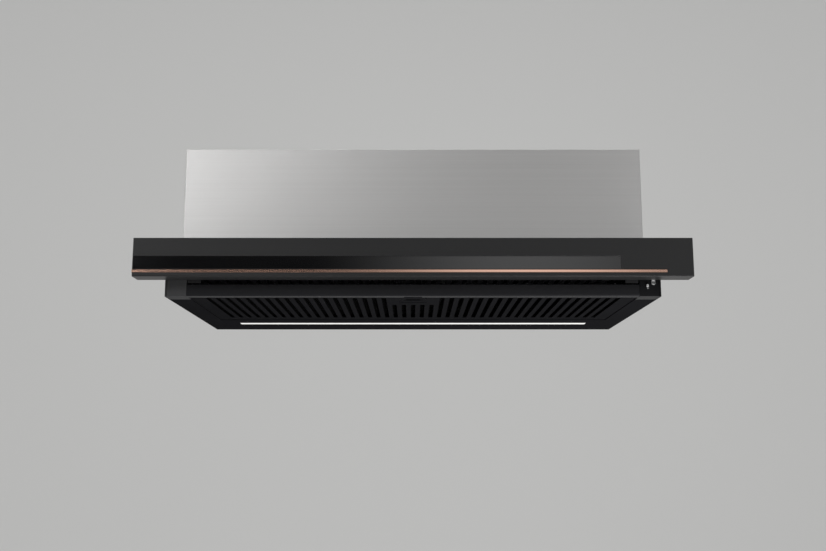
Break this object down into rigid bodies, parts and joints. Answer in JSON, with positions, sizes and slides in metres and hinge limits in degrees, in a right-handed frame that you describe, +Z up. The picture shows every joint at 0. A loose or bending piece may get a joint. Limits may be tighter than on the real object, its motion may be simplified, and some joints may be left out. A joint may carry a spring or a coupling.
{
  "type": "pull out range hood",
  "caption": "Pull-out range hood for a kitchen cabinet: sliding fascia on ball rails, slotted grease filter, light strip, centrifugal blower and round duct outlet.",
  "frame": {"origin": "wall plane at the back of the body, centre line, level of the fascia's top edge", "axes": "+X to the right seen from the front, +Y towards the wall, +Z up; the fascia faces -Y"},
  "size_m": [0.5984, 0.3253, 0.208],
  "materials": {
    "galvanised": "galvanised sheet",
    "stainless": "fine horizontal brushing",
    "black_moulding": "satin black",
    "fascia_black": "satin dark grey",
    "black_glass": "gloss black",
    "copper": "satin copper",
    "aluminium": "mill finish",
    "diffuser": "opal white",
    "circuit_board": "green solder mask",
    "zinc_steel": "zinc plated",
    "screw_steel": "zinc plated",
    "pale_moulding": "satin",
    "dark_moulding": "satin",
    "rubber": "matt",
    "motor_grey": "satin",
    "bearing_steel": "polished",
    "cage_brass": "satin",
    "deck_paint": "satin dark grey",
    "filter_black": "dull black coat",
    "button_chrome": "polished"
  },
  "bodies": {
    "root": {"housing": "galvanised", "body_side_left": "galvanised", "body_side_right": "galvanised", "front_panel": "stainless", "base_frame": "black_moulding", "front_bar": "black_moulding", "catch_clip": "screw_steel", "end_cap_left": "black_moulding", "end_cap_right": "black_moulding", "led_channel": "aluminium", "led_board": "circuit_board", "led_diffuser": "diffuser", "rail_fixed_left": "zinc_steel", "rail_fixed_right": "zinc_steel", "side_bracket_left": "galvanised", "side_bracket_right": "galvanised", "outlet_collar": "dark_moulding", "scroll_left": "pale_moulding", "scroll_right": "pale_moulding", "motor_bracket": "zinc_steel", "motor_mounts": "rubber", "motor_body": "motor_grey", "motor_bearings": "bearing_steel", "control_box": "dark_moulding", "control_lid": "dark_moulding", "control_board": "circuit_board", "run_capacitor": "pale_moulding", "led_driver": "pale_moulding", "cable_gland": "dark_moulding", "reed_switch": "pale_moulding", "switch_board": "circuit_board", "wiring_loom": "rubber", "frame_screws": "screw_steel", "bracket_screws": "screw_steel", "collar_screws": "screw_steel", "scroll_screws": "screw_steel"},
    "carriage": {"fascia": "fascia_black", "glass_inlay": "black_glass", "copper_trim": "copper", "fascia_plug_left": "fascia_black", "fascia_plug_right": "fascia_black", "front_beam": "deck_paint", "carriage_roof": "deck_paint", "carriage_filter": "filter_black", "rail_inner_left": "zinc_steel", "rail_inner_right": "zinc_steel", "carriage_screws": "screw_steel", "magnet": "motor_grey"},
    "cage_left": {"ball_cage_left": "cage_brass"},
    "cage_right": {"ball_cage_right": "cage_brass"},
    "fan": {"fan_wheel": "dark_moulding", "motor_shaft": "bearing_steel"},
    "flap_front": {"damper_flap_front": "dark_moulding"},
    "flap_rear": {"damper_flap_rear": "dark_moulding"},
    "filter": {"filter_face": "black_moulding", "filter_rim": "filter_black", "filter_mesh": "filter_black"},
    "latch": {"filter_latch": "black_moulding"},
    "fan_key": {"fan_button": "button_chrome"},
    "light_key": {"light_button": "button_chrome"}
  },
  "joints": [
    {"name": "carriage_slide", "type": "slide", "parent": "root", "child": "carriage", "axis": [0, -1, 0], "range_m": [0, 0.17]},
    {"name": "cage_left_slide", "type": "slide", "parent": "root", "child": "cage_left", "axis": [0, -1, 0], "range_m": [0, 0.085]},
    {"name": "cage_right_slide", "type": "slide", "parent": "root", "child": "cage_right", "axis": [0, -1, 0], "range_m": [0, 0.085]},
    {"name": "fan_spin", "type": "hinge", "parent": "root", "child": "fan", "pos_m": [0, -0.1215, 0.0642], "axis": [1, 0, 0], "continuous": true},
    {"name": "flap_front_swing", "type": "hinge", "parent": "root", "child": "flap_front", "pos_m": [0, -0.0836, 0.1265], "axis": [-1, 0, 0], "range_deg": [0, 80]},
    {"name": "flap_rear_swing", "type": "hinge", "parent": "root", "child": "flap_rear", "pos_m": [0, -0.0764, 0.1265], "axis": [1, 0, 0], "range_deg": [0, 80]},
    {"name": "filter_swing", "type": "hinge", "parent": "root", "child": "filter", "pos_m": [0, -0.104, -0.0561], "axis": [1, 0, 0], "range_deg": [0, 80], "deforming": ["catch_clip"]},
    {"name": "latch_slide", "type": "slide", "parent": "filter", "child": "latch", "axis": [0, 1, 0], "range_m": [0, 0.004], "stiffness_N_per_m": 300, "springref_m": -0.003},
    {"name": "fan_button_press", "type": "slide", "parent": "root", "child": "fan_key", "axis": [0, 1, 0], "range_m": [0, 0.001], "stiffness_N_per_m": 800, "springref_m": -0.0005},
    {"name": "light_button_press", "type": "slide", "parent": "root", "child": "light_key", "axis": [0, 1, 0], "range_m": [0, 0.001], "stiffness_N_per_m": 800, "springref_m": -0.0005}
  ],
  "couplings": [
    {"joint": "cage_left_slide", "follows": "carriage_slide", "ratio": 0.5},
    {"joint": "cage_right_slide", "follows": "carriage_slide", "ratio": 0.5}
  ]
}
